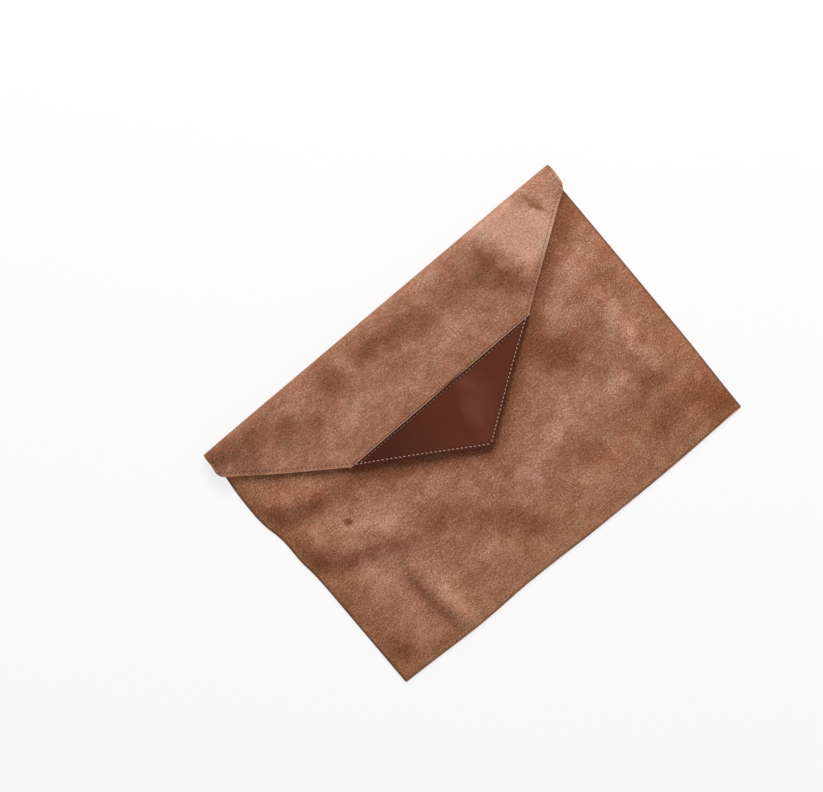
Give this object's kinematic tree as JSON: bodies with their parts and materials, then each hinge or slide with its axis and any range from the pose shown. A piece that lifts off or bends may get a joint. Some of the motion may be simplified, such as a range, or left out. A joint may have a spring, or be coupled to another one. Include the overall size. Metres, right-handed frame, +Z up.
{
  "type": "laptop sleeve",
  "caption": "Flat suede envelope sleeve with a pointed fold-over flap, a smooth leather tip with light stitching, and a lined pocket for a slim notebook computer.",
  "frame": {"origin": "middle of the box that holds the closed sleeve, on the surface it lies on", "axes": "+X along the fold, +Y from the bottom edge towards the fold, +Z up out of the front"},
  "size_m": [0.392, 0.276, 0.0218],
  "materials": {
    "suede": "brushed nap, matt",
    "smooth_leather": "smooth, low sheen",
    "lining": "plain woven, matt",
    "tan_thread": "twisted sewing thread",
    "cream_thread": "twisted sewing thread",
    "magnet": "plated disc"
  },
  "bodies": {
    "pocket": {"back_panel": "suede", "back_lining": "lining", "front_panel": "suede", "front_lining": "lining", "mouth_facing": "suede", "mouth_thread": "tan_thread", "left_seam_thread": "tan_thread", "right_seam_thread": "tan_thread", "bottom_seam_thread": "tan_thread", "body_magnet": "magnet", "magnet_patch": "lining", "fold": "suede", "fold_lining": "lining"},
    "flap": {"flap_panel": "suede", "flap_tip": "smooth_leather", "flap_facing": "lining", "left_edge_thread": "tan_thread", "right_edge_thread": "tan_thread", "tip_thread": "cream_thread", "tip_seam_thread": "tan_thread", "flap_magnet": "magnet"}
  },
  "joints": [
    {"name": "flap_hinge", "type": "hinge", "parent": "pocket", "child": "flap", "pos_m": [0, 0.138, 0.0109], "axis": [-1, 0, 0], "range_deg": [0, 179], "deforming": ["fold", "fold_lining"]}
  ]
}
